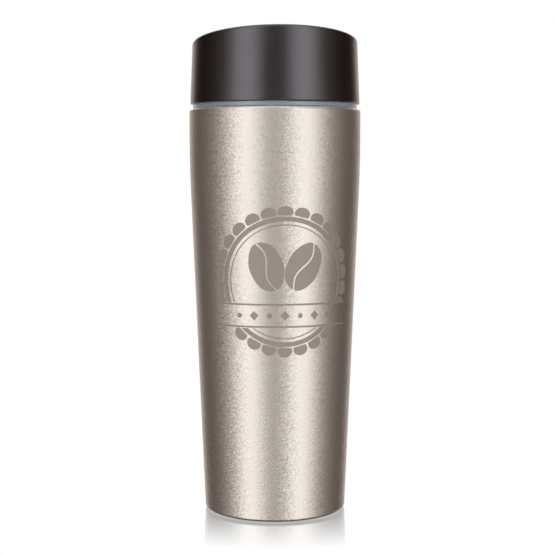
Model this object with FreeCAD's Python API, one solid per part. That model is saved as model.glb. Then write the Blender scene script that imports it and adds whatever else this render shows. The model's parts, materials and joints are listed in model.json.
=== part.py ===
import FreeCAD, Part
import math
import os

# Insulated travel mug: a tapered double-wall vacuum body, a push-in lid with a slanted rim and a
# translucent lip gasket, and a sprung thumb button that opens a valve in the floor of the lid.
# Millimetres. Origin at the centre of the foot, +Z up, front of the mug towards -Y.

V = FreeCAD.Vector
UP = V(0, 0, 1)

# ---- Body: outside shape ------------------------------------------------------------------
FOOT_RADIUS = 29.8  # of the tapered wall, carried down to the floor
MOUTH_RADIUS = 36.0  # of the straight wall under the rim
TAPER_TOP = 146.4  # where the tapered and the straight wall would meet
SHOULDER_BEND = 560.0  # radius of the slow bend between them
BODY_TOP = 169.6  # the plane of the mouth, which the lid's heights are counted from
FOOT_EDGE = 1.4  # roundings of the shell's lower and upper edge
RIM_EDGE = 1.2

# ---- Body: walls --------------------------------------------------------------------------
STEEL = 0.5  # sheet of the shell, the liner and both base plates
WALL = 3.6  # from the outside of the shell to the inside of the liner
FOOT_GAP = 0.4  # the steel foot ring stands this far clear of the floor
FOOT_RING = 26.6  # inner radius of the foot ring
LINER_FLOOR = 8.5
LINER_BEND = 8.0  # rounding between the liner's floor and its wall
RIM_SEAM = 33.9  # radius of the welded seam on the rim
BORE_EDGE = 1.0  # rounding of the mouth's inner edge
FIT = 0.05  # gap left between pieces that lie against each other

# ---- Body: base ---------------------------------------------------------------------------
CAP_RADIUS = 28.4
VACUUM_BASE_Z = 3.4
VACUUM_BASE_FLANGE = 1.7  # the welded flange reaches down to here
SEAL_HOLE = 1.5
SEAL_BEAD = 3.0
GETTER_X = 13.0
GETTER_RADIUS = 4.0
GETTER_HEIGHT = 2.0
CLIP_SHEET = 0.3
CLIP_WIDTH = 4.0
CLIP_FOOT = 3.0
FOIL = 0.15
FOIL_BOTTOM = 16.0
FOIL_TOP = 161.0
PAD_RADIUS = 25.9
PAD_GROOVES = (12.0, 16.0, 20.0, 24.0)  # radius of each concentric groove's middle
PAD_GROOVE_WIDTH = 1.2
PAD_GROOVE_DEPTH = 0.35

# ---- Lid: outside shape -------------------------------------------------------------------
GASKET_SHOW = 2.1  # height of the gasket's flange between body and lid
LID_BOTTOM = BODY_TOP + GASKET_SHOW
LID_RADIUS = 35.6  # at the lower edge
LID_DRAFT = 0.04  # loss of radius per millimetre of height
LID_LIP_EDGE = 0.35  # rounding of the lower edge
RIM_HEIGHT = BODY_TOP + 27.8  # of the rim's plane on the axis
RIM_SLOPE = math.radians(7.2)  # the front of the rim is the high side
LID_RIM_EDGE = 1.15
LID_RIM_INNER_EDGE = 0.5

# ---- Lid: drinking deck -------------------------------------------------------------------
DECK_TOP = BODY_TOP + 20.7
DECK = 2.0  # thickness
DECK_RADIUS = 32.0  # of the recess at the deck
RECESS_DRAFT = 0.02
RECESS_BEND = 2.0
CAVITY_RADIUS = 32.6
CAVITY_BEND = 1.5
SLOT_MIDDLE = 26.6  # radius that the sip slot follows
SLOT_WIDTH = 5.8
SLOT_HALF_ANGLE = 20.0  # degrees each side of the front
SLOT_EDGE = 0.5
VENT_Y = -15.0
VENT_RADIUS = 0.9
VENT_EDGE = 0.3

# ---- Lid: button well ---------------------------------------------------------------------
BUTTON_Y = 14.0  # the button's axis, towards the low side of the rim
WELL_RADIUS = 11.8
COLLAR_WALL = 1.6
COLLAR_BOTTOM = BODY_TOP + 9.5
COAMING_HEIGHT = 1.0  # raised edge around the button
COAMING_EDGE = 0.6
BOSS_CIRCLE = 16.0
BOSS_ANGLES = (-90.0, 20.0, 160.0)
BOSS_RADIUS = 2.8
PILOT_RADIUS = 1.02

# ---- Lid: core, the plug that goes into the mouth -----------------------------------------
PLUG_RADIUS = 31.0
PLUG_WALL = 1.6
PLUG_BOTTOM = BODY_TOP - 16.5
PLUG_FLOOR = 1.8
FLANGE_RADIUS = 33.2
FLANGE_TOP = BODY_TOP + 4.5
POCKET_RADIUS = 33.3  # in the cover, around the flange
SPIGOT_RADIUS = 32.4
SPIGOT_TOP = BODY_TOP + 9.7
SEAL_GROOVE_FLOOR = 31.2
SEAL_GROOVE_Z = (BODY_TOP + 6.1, BODY_TOP + 8.1)
HOOK_GROOVE = 30.3
HOOK_Z = (PLUG_BOTTOM + 2.2, PLUG_BOTTOM + 3.4)
PORT_RADIUS = 8.5
SEAT_WALL = 1.2
SEAT_DROP = 0.6  # the valve seat stands down from the plug's floor
SPIDER_BORE = 2.3
SPIDER_HUB = 3.8
SPIDER_Z = (PLUG_BOTTOM + 0.4, PLUG_BOTTOM + 4.0)
SPIDER_ARM = 1.3

# ---- Lid: gasket --------------------------------------------------------------------------
GASKET_RADIUS = 34.5
GASKET_EDGE = 0.35
SLEEVE_RADIUS = 31.65
LIP_RADIUS = 32.3  # pressed to the bore, which is 32.4
LIP_HEIGHTS = (BODY_TOP - 10.9, BODY_TOP - 7.1, BODY_TOP - 3.3)
LIP_THICKNESS = 1.3

# ---- Lid: guide cup under the button ------------------------------------------------------
CUP_BOTTOM = BODY_TOP + 4.5
CUP_FLOOR_TOP = BODY_TOP + 6.5
CUP_TOP = BODY_TOP + 8.7
CUP_BORE = 11.9
CUP_RADIUS = 14.0
HUB_BOTTOM = BODY_TOP
HUB_RADIUS = 4.6
EAR_THICKNESS = 2.0
EAR_RADIUS = 3.0
SCREW_HOLE = 1.15
SCREW_HEAD = 2.0
SCREW_HEAD_HEIGHT = 1.4
SCREW_SHANK = 1.0
SCREW_TIP = BODY_TOP + 15.5
STEM_SEAL_WIRE = 1.5
STEM_SEAL_GAP = 0.06  # between the stem and its seal
GLAND_RADIUS = 3.62
GLAND_BOTTOM = BODY_TOP + 4.8
WASHER_RADIUS = 8.2
WASHER_BORE = 2.4
WASHER = 0.5

# ---- Button, stem, valve ------------------------------------------------------------------
BUTTON_RADIUS = 11.5
BUTTON_TOP = BODY_TOP + 23.1
BUTTON_EDGE = 1.0
CROWN_UNDERSIDE = BUTTON_TOP - 2.4
BUTTON_WALL = 1.4
SKIRT_BOTTOM = BODY_TOP + 12.5
SOCKET_RADIUS = 4.0
DISH_RADIUS = 9.6
DISH_DEPTH = 0.7
GRIP_RINGS = (2.6, 5.0, 7.4)
GRIP_WIRE = 0.28
STEM_RADIUS = 2.0
STEM_CLEARANCE = 0.08
STEM_TOP = BODY_TOP + 19.5
STEM_SHOULDER = PLUG_BOTTOM + 0.2
STEM_TIP = PLUG_BOTTOM - 2.4
TIP_RADIUS = 1.5
VALVE_BOTTOM = PLUG_BOTTOM - 2.6
VALVE_DISC_TOP = PLUG_BOTTOM - 1.4
VALVE_RADIUS = 10.4
VALVE_HUB = 3.6
VALVE_SEAL_TOP = PLUG_BOTTOM - SEAT_DROP - FIT
VALVE_SEAL_RADIUS = 11.0
VALVE_SEAL_BORE = 6.5
VALVE_SEAL_HOOK = 9.6
VALVE_SEAL_BOTTOM = PLUG_BOTTOM - 3.2
VALVE_SCREW_HEAD = 3.0
VALVE_SCREW_BOTTOM = PLUG_BOTTOM - 4.0
VALVE_SCREW_TIP = PLUG_BOTTOM + 2.6
SPRING_RADIUS = 6.4  # of the coil's middle line
SPRING_WIRE = 0.9
SPRING_HALF_TURNS = 9


def rounded_corner(before, corner, after, radius):
    """Start, middle and end of the arc that rounds a corner of an outline."""
    back = (before - corner).normalize()
    onward = (after - corner).normalize()
    half_angle = back.getAngle(onward) / 2
    reach = radius / math.tan(half_angle)
    centre = corner + (back + onward).normalize() * (radius / math.sin(half_angle))
    middle = centre + (corner - centre).normalize() * radius
    return corner + back * reach, middle, corner + onward * reach


def outline(points):
    """Closed wire through (radius, height) or (radius, height, rounding) corners, in the XZ plane."""
    corners = [V(p[0], 0, p[1]) for p in points]
    roundings = [p[2] if len(p) > 2 else 0 for p in points]
    stops = []
    for i, corner in enumerate(corners):
        after = corners[(i + 1) % len(corners)]
        if roundings[i]:
            stops.append(rounded_corner(corners[i - 1], corner, after, roundings[i]))
        else:
            stops.append((corner,))
    edges = []
    for i, stop in enumerate(stops):
        if len(stop) == 3:
            edges.append(Part.Arc(*stop).toShape())
        start, end = stop[-1], stops[(i + 1) % len(stops)][0]
        if start.distanceToPoint(end) > 1e-6:
            edges.append(Part.makeLine(start, end))
    return Part.Wire(edges)


def turned(points, y=0.0):
    """Solid of revolution about the vertical axis at x = 0 and the given y."""
    solid = Part.Face(outline(points)).revolve(V(0, 0, 0), UP, 360)
    solid.translate(V(0, y, 0))
    return solid


def rod(radius, bottom, top, x=0.0, y=0.0):
    return Part.makeCylinder(radius, top - bottom, V(x, y, bottom))


def tube(inner, outer, bottom, top, x=0.0, y=0.0):
    return rod(outer, bottom, top, x, y).cut(rod(inner, bottom, top, x, y))


def ring(middle_radius, wire_radius, height, y=0.0):
    return Part.makeTorus(middle_radius, wire_radius, V(0, y, height))


def block(x_size, y_size, bottom, top, x=0.0, y=0.0):
    corner = V(x - x_size / 2, y - y_size / 2, bottom)
    return Part.makeBox(x_size, y_size, top - bottom, corner)


def wall_corner(inset):
    """Where the tapered and the straight wall meet, this far inside the mug's outside."""
    return (MOUTH_RADIUS - inset, TAPER_TOP, SHOULDER_BEND - inset)


def taper_radius(height, inset=0.0):
    """Radius of the tapered wall at a height, this far inside the mug's outside."""
    return FOOT_RADIUS + (MOUTH_RADIUS - FOOT_RADIUS) * height / TAPER_TOP - inset


def boss_places():
    """Middle of each screw boss around the button's axis."""
    for angle in BOSS_ANGLES:
        turn = math.radians(angle)
        yield BOSS_CIRCLE * math.cos(turn), BUTTON_Y + BOSS_CIRCLE * math.sin(turn)


# ---- Body pieces --------------------------------------------------------------------------
def outer_shell():
    """Drawn steel shell: foot ring, tapered wall, straight top and half of the rim."""
    inside_top = BODY_TOP - STEEL
    inside_foot = FOOT_GAP + STEEL
    return turned(
        [
            (FOOT_RING, FOOT_GAP),
            (taper_radius(FOOT_GAP), FOOT_GAP, FOOT_EDGE),
            wall_corner(0),
            (MOUTH_RADIUS, BODY_TOP, RIM_EDGE),
            (RIM_SEAM, BODY_TOP),
            (RIM_SEAM, inside_top),
            (MOUTH_RADIUS - STEEL, inside_top, RIM_EDGE - STEEL),
            wall_corner(STEEL),
            (taper_radius(inside_foot, STEEL), inside_foot, FOOT_EDGE - STEEL),
            (FOOT_RING, inside_foot),
        ]
    )


def inner_liner():
    """Drawn steel cup that holds the drink, with the other half of the rim."""
    seam = RIM_SEAM - FIT / 2
    underside = LINER_FLOOR - STEEL
    return turned(
        [
            (0, LINER_FLOOR),
            (taper_radius(LINER_FLOOR, WALL), LINER_FLOOR, LINER_BEND),
            wall_corner(WALL),
            (MOUTH_RADIUS - WALL, BODY_TOP, BORE_EDGE),
            (seam, BODY_TOP),
            (seam, BODY_TOP - STEEL),
            (MOUTH_RADIUS - WALL + STEEL, BODY_TOP - STEEL, BORE_EDGE - STEEL),
            wall_corner(WALL - STEEL),
            (taper_radius(underside, WALL - STEEL), underside, LINER_BEND + STEEL),
            (0, underside),
        ]
    )


def heat_foil():
    """Reflecting foil wrapped round the liner, inside the vacuum."""
    near, far = WALL - STEEL - 2 * FIT, WALL - STEEL - 2 * FIT - FOIL
    return turned(
        [
            (taper_radius(FOIL_BOTTOM, near), FOIL_BOTTOM),
            (taper_radius(FOIL_BOTTOM, far), FOIL_BOTTOM),
            wall_corner(far),
            (MOUTH_RADIUS - far, FOIL_TOP),
            (MOUTH_RADIUS - near, FOIL_TOP),
            wall_corner(near),
        ]
    )


def vacuum_base():
    """Plate that closes the vacuum, welded inside the shell, with the pump-out hole."""
    top, inset = VACUUM_BASE_Z + STEEL, STEEL + FIT
    return turned(
        [
            (SEAL_HOLE, VACUUM_BASE_Z),
            (taper_radius(VACUUM_BASE_Z, inset + STEEL), VACUUM_BASE_Z, 0.5),
            (taper_radius(VACUUM_BASE_FLANGE, inset + STEEL), VACUUM_BASE_FLANGE),
            (taper_radius(VACUUM_BASE_FLANGE, inset), VACUUM_BASE_FLANGE),
            (taper_radius(top, inset), top, 1.0),
            (SEAL_HOLE, top),
        ]
    )


def vacuum_seal():
    """Bead of solder glass that plugs the pump-out hole from below."""
    shank, shoulder = SEAL_HOLE - FIT, VACUUM_BASE_Z - FIT
    return turned(
        [
            (0, shoulder - 0.8),
            (SEAL_BEAD, shoulder - 0.8, 0.6),
            (SEAL_BEAD, shoulder),
            (shank, shoulder),
            (shank, VACUUM_BASE_Z + STEEL + 0.3, 0.3),
            (0, VACUUM_BASE_Z + STEEL + 0.3),
        ]
    )


def getter():
    """Pill that binds stray gas in the vacuum."""
    bottom = VACUUM_BASE_Z + STEEL + FIT
    pill = rod(GETTER_RADIUS, bottom, bottom + GETTER_HEIGHT, GETTER_X)
    rims = [e for e in pill.Edges if e.Curve.TypeId == "Part::GeomCircle"]
    return pill.makeFillet(0.3, rims)


def getter_clip():
    """Strap spot-welded to the plate over the pill."""
    foot = VACUUM_BASE_Z + STEEL + FIT
    over = foot + GETTER_HEIGHT + FIT
    half = GETTER_RADIUS + FIT
    strap = block(2 * (half + CLIP_SHEET), CLIP_WIDTH, over, over + CLIP_SHEET, GETTER_X)
    for side in (-1, 1):
        leg_x = GETTER_X + side * (half + CLIP_SHEET / 2)
        foot_x = GETTER_X + side * (half + (CLIP_FOOT + CLIP_SHEET) / 2)
        strap = strap.fuse(block(CLIP_SHEET, CLIP_WIDTH, foot, over, leg_x))
        strap = strap.fuse(block(CLIP_FOOT, CLIP_WIDTH, foot, foot + CLIP_SHEET, foot_x))
    return strap.removeSplitter()


def bottom_cap():
    """Cover plate behind the foot ring, which hides the seal."""
    bottom = FOOT_GAP + STEEL + FIT
    return turned(
        [
            (0, bottom),
            (CAP_RADIUS, bottom),
            (CAP_RADIUS, bottom + STEEL, 0.2),
            (0, bottom + STEEL),
        ]
    )


def base_pad():
    """Non-slip pad glued to the cover plate, which is what the mug stands on."""
    top = FOOT_GAP + STEEL
    points = [(0, top), (0, 0)]
    for radius in PAD_GROOVES:
        near, far = radius - PAD_GROOVE_WIDTH / 2, radius + PAD_GROOVE_WIDTH / 2
        points += [(near, 0), (near, PAD_GROOVE_DEPTH), (far, PAD_GROOVE_DEPTH), (far, 0)]
    points += [(PAD_RADIUS, 0, 0.25), (PAD_RADIUS, top)]
    return turned(points)


# ---- Lid pieces ---------------------------------------------------------------------------
def above_rim_plane():
    """Everything over the slanted plane of the lid's rim."""
    size = 200.0
    space = Part.makeBox(size, size, size, V(-size / 2, -size / 2, 0))
    space.rotate(V(0, 0, 0), V(1, 0, 0), -math.degrees(RIM_SLOPE))
    space.translate(V(0, 0, RIM_HEIGHT))
    return space


def edges_where(shape, holds):
    """Edges of a shape whose points all satisfy a test."""
    return [edge for edge in shape.Edges if all(holds(p) for p in edge.discretize(9))]


def on_rim(radius):
    """Test for points in the rim's slanted plane, close to a distance from the axis."""
    slope = math.tan(RIM_SLOPE)

    def holds(p):
        in_plane = abs(p.z + p.y * slope - RIM_HEIGHT) < 0.01
        return in_plane and abs(math.hypot(p.x, p.y) - radius) < 0.4

    return holds


def on_slot_rim(p):
    radius = math.hypot(p.x, p.y)
    across = abs(radius - SLOT_MIDDLE) < SLOT_WIDTH / 2 + 0.01
    return across and p.y < VENT_Y - 2 and abs(p.z - DECK_TOP) < 0.01


def on_vent_rim(p):
    return math.hypot(p.x, p.y - VENT_Y) < VENT_RADIUS + 0.01 and abs(p.z - DECK_TOP) < 0.01


def sip_slot(bottom, top):
    """Curved slot with round ends, across the front of the deck."""
    near, far = SLOT_MIDDLE - SLOT_WIDTH / 2, SLOT_MIDDLE + SLOT_WIDTH / 2
    section = outline([(near, bottom), (far, bottom), (far, top), (near, top)])
    slot = Part.Face(section).revolve(V(0, 0, 0), UP, 2 * SLOT_HALF_ANGLE)
    slot.rotate(V(0, 0, 0), UP, -90 - SLOT_HALF_ANGLE)
    for side in (-1, 1):
        turn = math.radians(-90 + side * SLOT_HALF_ANGLE)
        x, y = SLOT_MIDDLE * math.cos(turn), SLOT_MIDDLE * math.sin(turn)
        slot = slot.fuse(rod(SLOT_WIDTH / 2, bottom, top, x, y))
    return slot.removeSplitter()


def cover_blank():
    """The cover's wall and slanted rim, with the recess above the deck and the cavity below."""
    above = RIM_HEIGHT + 2 * LID_RADIUS * math.tan(RIM_SLOPE)
    blank = turned(
        [
            (0, LID_BOTTOM),
            (LID_RADIUS, LID_BOTTOM, LID_LIP_EDGE),
            (LID_RADIUS - LID_DRAFT * (above - LID_BOTTOM), above),
            (0, above),
        ]
    )
    recess = turned(
        [
            (0, DECK_TOP),
            (DECK_RADIUS, DECK_TOP, RECESS_BEND),
            (DECK_RADIUS + RECESS_DRAFT * (above - DECK_TOP), above),
            (0, above),
        ]
    )
    blank = blank.cut(above_rim_plane()).cut(recess)
    rim_radius = LID_RADIUS - LID_DRAFT * (RIM_HEIGHT - LID_BOTTOM)
    blank = blank.makeFillet(LID_RIM_EDGE, edges_where(blank, on_rim(rim_radius)))
    inner_radius = DECK_RADIUS + RECESS_DRAFT * (RIM_HEIGHT - DECK_TOP)
    blank = blank.makeFillet(LID_RIM_INNER_EDGE, edges_where(blank, on_rim(inner_radius)))
    cavity = turned(
        [
            (0, LID_BOTTOM - 1),
            (POCKET_RADIUS, LID_BOTTOM - 1),
            (POCKET_RADIUS, FLANGE_TOP + FIT),
            (CAVITY_RADIUS, FLANGE_TOP + FIT),
            (CAVITY_RADIUS, DECK_TOP - DECK, CAVITY_BEND),
            (0, DECK_TOP - DECK),
        ]
    )
    return blank.cut(cavity)


def lid_cover():
    """Black cover: drafted wall, slanted rim, deck with sip slot, vent and button well."""
    underside = DECK_TOP - DECK
    coaming_top = DECK_TOP + COAMING_HEIGHT
    well = turned(
        [
            (WELL_RADIUS - 1, COLLAR_BOTTOM),
            (WELL_RADIUS + COLLAR_WALL, COLLAR_BOTTOM),
            (WELL_RADIUS + COLLAR_WALL, coaming_top, COAMING_EDGE),
            (WELL_RADIUS - 1, coaming_top),
        ],
        BUTTON_Y,
    )
    cover = cover_blank().fuse(well)
    for x, y in boss_places():
        cover = cover.fuse(rod(BOSS_RADIUS, CUP_TOP + FIT, underside + 0.5, x, y))
    cover = cover.cut(rod(WELL_RADIUS, COLLAR_BOTTOM - 1, coaming_top + 1, 0, BUTTON_Y))
    for x, y in boss_places():
        cover = cover.cut(rod(PILOT_RADIUS, CUP_TOP, SCREW_TIP + 0.5, x, y))
    cover = cover.cut(rod(VENT_RADIUS, underside - 1, DECK_TOP + 1, 0, VENT_Y))
    cover = cover.cut(sip_slot(underside - 1, DECK_TOP + 1)).removeSplitter()
    cover = cover.makeFillet(SLOT_EDGE, edges_where(cover, on_slot_rim))
    return cover.makeChamfer(VENT_EDGE, edges_where(cover, on_vent_rim))


def lid_core():
    """Plug: flange under the cover, seal groove, floor with the valve port and its spider."""
    inner = PLUG_RADIUS - PLUG_WALL
    floor = PLUG_BOTTOM + PLUG_FLOOR
    core = turned(
        [
            (0, PLUG_BOTTOM),
            (PLUG_RADIUS, PLUG_BOTTOM, 0.8),
            (PLUG_RADIUS, HOOK_Z[0]),
            (HOOK_GROOVE, HOOK_Z[0]),
            (HOOK_GROOVE, HOOK_Z[1]),
            (PLUG_RADIUS, HOOK_Z[1]),
            (PLUG_RADIUS, LID_BOTTOM),
            (FLANGE_RADIUS, LID_BOTTOM),
            (FLANGE_RADIUS, FLANGE_TOP, 0.3),
            (SPIGOT_RADIUS, FLANGE_TOP),
            (SPIGOT_RADIUS, SEAL_GROOVE_Z[0]),
            (SEAL_GROOVE_FLOOR, SEAL_GROOVE_Z[0]),
            (SEAL_GROOVE_FLOOR, SEAL_GROOVE_Z[1]),
            (SPIGOT_RADIUS, SEAL_GROOVE_Z[1]),
            (SPIGOT_RADIUS, SPIGOT_TOP, 0.5),
            (inner, SPIGOT_TOP, 0.5),
            (inner, floor, 2.0),
            (0, floor),
        ]
    )
    seat = tube(PORT_RADIUS, PORT_RADIUS + SEAT_WALL, PLUG_BOTTOM - SEAT_DROP, floor, 0, BUTTON_Y)
    core = core.fuse(seat).cut(rod(PORT_RADIUS, PLUG_BOTTOM - 2, floor + 1, 0, BUTTON_Y))
    low, high = SPIDER_Z
    spider = rod(SPIDER_HUB, low, high, 0, BUTTON_Y)
    for angle in BOSS_ANGLES:
        arm = block(PORT_RADIUS + 0.6, SPIDER_ARM, low, floor, (PORT_RADIUS + 0.6) / 2)
        arm.rotate(V(0, 0, 0), UP, angle + 180)
        arm.translate(V(0, BUTTON_Y, 0))
        spider = spider.fuse(arm)
    core = core.fuse(spider).cut(rod(SPIDER_BORE, low - 1, high + 1, 0, BUTTON_Y))
    return core.removeSplitter()


def lid_gasket():
    """Translucent silicone: the flange that shows, a sleeve round the plug and three lips."""
    bore = PLUG_RADIUS + FIT
    hook = HOOK_GROOVE + 2 * FIT
    points = [
        (hook, HOOK_Z[0] + FIT),
        (SLEEVE_RADIUS, HOOK_Z[0] + FIT, 0.3),
    ]
    for height in LIP_HEIGHTS:
        points += [
            (SLEEVE_RADIUS, height - LIP_THICKNESS / 2),
            (LIP_RADIUS, height + LIP_THICKNESS / 2 - 0.5, 0.15),
            (LIP_RADIUS, height + LIP_THICKNESS / 2, 0.15),
            (SLEEVE_RADIUS, height + LIP_THICKNESS / 2 - 0.2),
        ]
    points += [
        (SLEEVE_RADIUS, BODY_TOP + FIT / 2),
        (GASKET_RADIUS, BODY_TOP + FIT / 2, GASKET_EDGE),
        (GASKET_RADIUS, LID_BOTTOM - FIT / 2, GASKET_EDGE),
        (bore, LID_BOTTOM - FIT / 2),
        (bore, HOOK_Z[1] - FIT),
        (hook, HOOK_Z[1] - FIT),
    ]
    return turned(points)


def cover_seal():
    """O-ring between the plug's spigot and the cover."""
    outer = CAVITY_RADIUS - FIT
    wire = (outer - SEAL_GROOVE_FLOOR - FIT) / 2
    return ring(outer - wire, wire, sum(SEAL_GROOVE_Z) / 2)


def guide_cup():
    """Cup screwed under the button well: guides the stem, carries the spring and stem seal."""
    stem_bore = STEM_RADIUS + STEM_CLEARANCE
    cup = turned(
        [
            (stem_bore, HUB_BOTTOM),
            (HUB_RADIUS, HUB_BOTTOM, 0.5),
            (HUB_RADIUS, CUP_BOTTOM),
            (CUP_RADIUS, CUP_BOTTOM, 0.6),
            (CUP_RADIUS, CUP_TOP),
            (CUP_BORE, CUP_TOP),
            (CUP_BORE, CUP_FLOOR_TOP, 0.5),
            (GLAND_RADIUS, CUP_FLOOR_TOP),
            (GLAND_RADIUS, GLAND_BOTTOM),
            (stem_bore, GLAND_BOTTOM),
        ],
        BUTTON_Y,
    )
    for x, y in boss_places():
        cup = cup.fuse(rod(EAR_RADIUS, CUP_TOP - EAR_THICKNESS, CUP_TOP, x, y))
    for x, y in boss_places():
        below = CUP_TOP - EAR_THICKNESS
        cup = cup.cut(rod(SCREW_HEAD + 0.2, CUP_BOTTOM - 1, below, x, y))
        cup = cup.cut(rod(SCREW_HOLE, below - 1, CUP_TOP + 1, x, y))
    return cup.removeSplitter()


def guide_cup_seal():
    """Flat ring between the cup and the collar of the button well."""
    edge = BOSS_CIRCLE - BOSS_RADIUS - 2 * FIT
    return tube(CUP_BORE + 2 * FIT, edge, CUP_TOP + FIT / 2, COLLAR_BOTTOM - FIT / 2, 0, BUTTON_Y)


def guide_screws():
    """Three self-tapping screws that hold the cup to the cover."""
    screws = []
    seat = CUP_TOP - EAR_THICKNESS
    for x, y in boss_places():
        head = rod(SCREW_HEAD, seat - SCREW_HEAD_HEIGHT, seat, x, y)
        head = head.makeFillet(0.4, [e for e in head.Edges if e.BoundBox.ZMax < seat - 1])
        cross = block(2.2, 0.5, seat - SCREW_HEAD_HEIGHT - 1, seat - 0.7, x, y)
        cross = cross.fuse(block(0.5, 2.2, seat - SCREW_HEAD_HEIGHT - 1, seat - 0.7, x, y))
        screws.append(head.cut(cross).fuse(rod(SCREW_SHANK, seat, SCREW_TIP, x, y)))
    return Part.makeCompound(screws)


def stem_seal():
    """O-ring in the cup's gland, round the stem."""
    wire = STEM_SEAL_WIRE / 2
    middle = STEM_RADIUS + STEM_SEAL_GAP + wire
    return ring(middle, wire, GLAND_BOTTOM + FIT + wire, BUTTON_Y)


def spring_washer():
    """Steel washer that keeps the seal in its gland and carries the spring."""
    bottom = CUP_FLOOR_TOP + FIT / 2
    return tube(WASHER_BORE, WASHER_RADIUS, bottom, bottom + WASHER, 0, BUTTON_Y)


def return_spring():
    """Compression spring from the washer to the button, its coil a chain of tangent half circles."""
    bottom = CUP_FLOOR_TOP + WASHER + FIT + SPRING_WIRE / 2
    top = CROWN_UNDERSIDE - FIT - SPRING_WIRE / 2
    rise = (top - bottom) / SPRING_HALF_TURNS
    arcs = []
    for i in range(SPRING_HALF_TURNS):
        side = 1 if i % 2 == 0 else -1
        start = V(side * SPRING_RADIUS, BUTTON_Y, bottom + i * rise)
        end = V(-side * SPRING_RADIUS, BUTTON_Y, bottom + (i + 1) * rise)
        centre = (start + end) * 0.5
        middle = centre + V(0, side * start.distanceToPoint(centre), 0)
        arcs.append(Part.Arc(start, middle, end).toShape())
    start = V(SPRING_RADIUS, BUTTON_Y, bottom)
    section = Part.Wire(Part.makeCircle(SPRING_WIRE / 2, start, V(0, 1, 0)))
    return Part.Wire(arcs).makePipeShell([section], True, True)


# ---- Button pieces ------------------------------------------------------------------------
def push_button():
    """Thumb button: dished crown with grip rings, skirt and the socket for the stem."""
    button = turned(
        [
            (0, SKIRT_BOTTOM),
            (SOCKET_RADIUS, SKIRT_BOTTOM, 0.3),
            (SOCKET_RADIUS, CROWN_UNDERSIDE),
            (BUTTON_RADIUS - BUTTON_WALL, CROWN_UNDERSIDE, 0.6),
            (BUTTON_RADIUS - BUTTON_WALL, SKIRT_BOTTOM),
            (BUTTON_RADIUS, SKIRT_BOTTOM, 0.3),
            (BUTTON_RADIUS, BUTTON_TOP, BUTTON_EDGE),
            (0, BUTTON_TOP),
        ]
    )
    ball = (DISH_RADIUS**2 + DISH_DEPTH**2) / (2 * DISH_DEPTH)
    centre = BUTTON_TOP - DISH_DEPTH + ball
    button = button.cut(Part.makeSphere(ball, V(0, 0, centre)))
    for radius in GRIP_RINGS:
        height = centre - math.sqrt(ball**2 - radius**2)
        button = button.fuse(ring(radius, GRIP_WIRE, height))
    button = button.cut(rod(STEM_RADIUS + FIT / 2, SKIRT_BOTTOM - 1, STEM_TOP + FIT))
    button.translate(V(0, BUTTON_Y, 0))
    return button


def push_stem():
    """Rod from the button to the valve, with a stepped tip and a screw hole."""
    stem = rod(STEM_RADIUS, STEM_SHOULDER, STEM_TOP, 0, BUTTON_Y)
    stem = stem.fuse(rod(TIP_RADIUS, STEM_TIP, STEM_SHOULDER, 0, BUTTON_Y))
    return stem.cut(rod(PILOT_RADIUS, STEM_TIP - 1, VALVE_SCREW_TIP + 0.4, 0, BUTTON_Y))


def valve_disc():
    """Disc below the port that the spring pulls up against the seat."""
    return turned(
        [
            (TIP_RADIUS + FIT / 2, VALVE_BOTTOM),
            (VALVE_RADIUS, VALVE_BOTTOM, 0.2),
            (VALVE_RADIUS, VALVE_DISC_TOP, 0.2),
            (VALVE_SEAL_BORE - FIT, VALVE_DISC_TOP),
            (VALVE_SEAL_BORE - FIT, VALVE_DISC_TOP + 0.5, 0.3),
            (VALVE_HUB, VALVE_DISC_TOP + 0.5),
            (VALVE_HUB, STEM_SHOULDER - FIT, 0.3),
            (TIP_RADIUS + FIT / 2, STEM_SHOULDER - FIT),
        ],
        BUTTON_Y,
    )


def valve_seal():
    """Silicone ring stretched over the edge of the disc."""
    edge = VALVE_RADIUS + FIT
    return turned(
        [
            (VALVE_SEAL_BORE, VALVE_DISC_TOP + FIT),
            (edge, VALVE_DISC_TOP + FIT),
            (edge, VALVE_BOTTOM - FIT),
            (VALVE_SEAL_HOOK, VALVE_BOTTOM - FIT),
            (VALVE_SEAL_HOOK, VALVE_SEAL_BOTTOM, 0.2),
            (VALVE_SEAL_RADIUS, VALVE_SEAL_BOTTOM, 0.3),
            (VALVE_SEAL_RADIUS, VALVE_SEAL_TOP, 0.3),
            (VALVE_SEAL_BORE, VALVE_SEAL_TOP, 0.2),
        ],
        BUTTON_Y,
    )


def valve_screw():
    """Pan-head screw that holds the disc to the stem from below."""
    top = VALVE_BOTTOM - FIT / 2
    head = rod(VALVE_SCREW_HEAD, VALVE_SCREW_BOTTOM, top)
    head = head.makeFillet(0.6, [e for e in head.Edges if e.BoundBox.ZMax < top - 1])
    for x_size, y_size in ((3.2, 0.7), (0.7, 3.2)):
        head = head.cut(block(x_size, y_size, VALVE_SCREW_BOTTOM - 1, VALVE_SCREW_BOTTOM + 0.9))
    screw = head.fuse(rod(SCREW_SHANK, top, VALVE_SCREW_TIP))
    screw.translate(V(0, BUTTON_Y, 0))
    return screw


SUB_PARTS = [
    outer_shell,
    inner_liner,
    heat_foil,
    vacuum_base,
    vacuum_seal,
    getter,
    getter_clip,
    bottom_cap,
    base_pad,
    lid_cover,
    lid_core,
    lid_gasket,
    cover_seal,
    guide_cup,
    guide_cup_seal,
    guide_screws,
    stem_seal,
    spring_washer,
    return_spring,
    push_button,
    push_stem,
    valve_disc,
    valve_seal,
    valve_screw,
]


def main():
    os.makedirs("parts", exist_ok=True)
    for sub_part in SUB_PARTS:
        shape = sub_part()
        solids = len(shape.Solids)
        print(f"{sub_part.__name__:16s} {solids} solid(s), {shape.Volume:9.1f} mm3, valid {shape.isValid()}")
        shape.exportStep(f"parts/{sub_part.__name__}.step")


main()
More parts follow.
